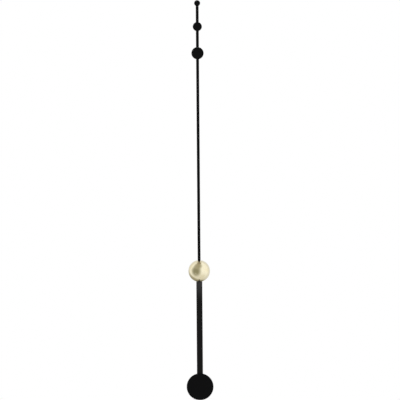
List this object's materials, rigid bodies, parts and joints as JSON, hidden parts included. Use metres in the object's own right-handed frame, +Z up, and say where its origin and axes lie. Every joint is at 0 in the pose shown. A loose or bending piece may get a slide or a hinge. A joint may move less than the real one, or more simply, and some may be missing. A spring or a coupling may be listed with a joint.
{
  "type": "pendulum wall clock",
  "caption": "Wall-hung pendulum clock: a brass dome on its hub, a long slim minute hand with round markers above it, and below it a flat pendulum bar that ends in a large black disc.",
  "frame": {"origin": "on the hands' axis at the back face of the wall plate, which lies on the wall", "axes": "+Z up along the hands at twelve, -Y out of the wall towards the viewer, +X to the viewer's right"},
  "size_m": [0.067, 0.0688, 1],
  "materials": {
    "black_lacquer": "matte",
    "polished_brass": "polished",
    "turned_brass": "turned",
    "plain_steel": "zinc plated",
    "black_plastic": "moulded",
    "white_plastic": "moulded",
    "board_green": "solder mask",
    "copper_wire": "enamelled wire",
    "magnet_grey": "sintered",
    "black_rubber": "matte",
    "cell_jacket": "satin"
  },
  "bodies": {
    "case": {"wall_plate": "plain_steel", "wall_studs": "plain_steel", "housing": "polished_brass", "back_cover": "black_plastic", "cover_screws": "plain_steel", "movement_case": "black_plastic", "battery_cell": "cell_jacket", "battery_tray": "black_plastic", "battery_contact_plus": "plain_steel", "battery_contact_minus": "plain_steel", "circuit_board": "board_green", "control_chip": "black_plastic", "quartz_crystal": "plain_steel", "motor_cradle": "white_plastic", "board_screws": "plain_steel", "stator_plate": "plain_steel", "motor_bobbin": "white_plastic", "motor_winding": "copper_wire", "drive_bobbin": "white_plastic", "drive_winding": "copper_wire", "train_bridge": "turned_brass", "bridge_screws": "plain_steel", "threaded_bushing": "turned_brass", "rubber_washer": "black_rubber", "brass_washer": "turned_brass", "hex_nut": "turned_brass", "pendulum_pivot": "plain_steel"},
    "minute_hand": {"minute_pipe": "turned_brass", "minute_hand": "black_lacquer", "small_marker": "black_lacquer", "medium_marker": "black_lacquer", "large_marker": "black_lacquer", "minute_collet": "turned_brass", "dome_cap": "polished_brass", "dome_boss": "turned_brass", "minute_counterweight": "turned_brass", "counterweight_screws": "plain_steel"},
    "hour_hand": {"hour_wheel": "white_plastic", "hour_hand": "black_lacquer", "hour_collet": "turned_brass", "hour_counterweight": "turned_brass"},
    "minute_wheel": {"minute_wheel": "white_plastic"},
    "setting_shaft": {"setting_shaft": "plain_steel", "setting_knob": "black_plastic"},
    "rotor": {"rotor_magnet": "magnet_grey", "rotor_pinion": "plain_steel"},
    "fourth_wheel": {"fourth_wheel": "turned_brass"},
    "second_wheel": {"second_wheel": "turned_brass"},
    "third_wheel": {"third_wheel": "turned_brass"},
    "centre_wheel": {"centre_wheel": "turned_brass", "clutch_spring": "plain_steel"},
    "pendulum": {"pendulum_hanger": "white_plastic", "hanger_screws": "plain_steel", "pendulum_magnet": "magnet_grey", "pendulum_bar": "black_lacquer", "pendulum_bob": "black_lacquer", "bob_screws": "plain_steel"}
  },
  "joints": [
    {"name": "minute_spin", "type": "hinge", "parent": "case", "child": "minute_hand", "pos_m": [0, 0, 0], "axis": [0, 1, 0], "continuous": true},
    {"name": "hour_spin", "type": "hinge", "parent": "case", "child": "hour_hand", "pos_m": [0, 0, 0], "axis": [0, 1, 0], "continuous": true},
    {"name": "minute_wheel_spin", "type": "hinge", "parent": "case", "child": "minute_wheel", "pos_m": [-0.00587, 0, -0.00381], "axis": [0, 1, 0], "continuous": true},
    {"name": "setting_spin", "type": "hinge", "parent": "case", "child": "setting_shaft", "pos_m": [-0.01203, 0, -0.00782], "axis": [0, 1, 0], "continuous": true},
    {"name": "rotor_spin", "type": "hinge", "parent": "case", "child": "rotor", "pos_m": [-0.00237, 0, -0.01198], "axis": [0, 1, 0], "continuous": true},
    {"name": "fourth_spin", "type": "hinge", "parent": "case", "child": "fourth_wheel", "pos_m": [0.00463, 0, -0.01198], "axis": [0, 1, 0], "continuous": true},
    {"name": "second_spin", "type": "hinge", "parent": "case", "child": "second_wheel", "pos_m": [0.00926, 0, -0.00647], "axis": [0, 1, 0], "continuous": true},
    {"name": "third_spin", "type": "hinge", "parent": "case", "child": "third_wheel", "pos_m": [0.01015, 0, 0.00369], "axis": [0, 1, 0], "continuous": true},
    {"name": "centre_spin", "type": "hinge", "parent": "case", "child": "centre_wheel", "pos_m": [0, 0, 0], "axis": [0, 1, 0], "continuous": true},
    {"name": "pendulum_swing", "type": "hinge", "parent": "case", "child": "pendulum", "pos_m": [0, 0, 0], "axis": [0, 1, 0], "range_deg": [-5, 5]}
  ],
  "couplings": [
    {"joint": "hour_spin", "follows": "minute_spin", "ratio": 0.083333},
    {"joint": "minute_wheel_spin", "follows": "minute_spin", "ratio": -0.33333},
    {"joint": "setting_spin", "follows": "minute_spin", "ratio": 0.83333},
    {"joint": "fourth_spin", "follows": "rotor_spin", "ratio": -0.16667},
    {"joint": "second_spin", "follows": "rotor_spin", "ratio": 0.033333},
    {"joint": "third_spin", "follows": "rotor_spin", "ratio": -0.0044444},
    {"joint": "centre_spin", "follows": "rotor_spin", "ratio": 0.00055556}
  ]
}
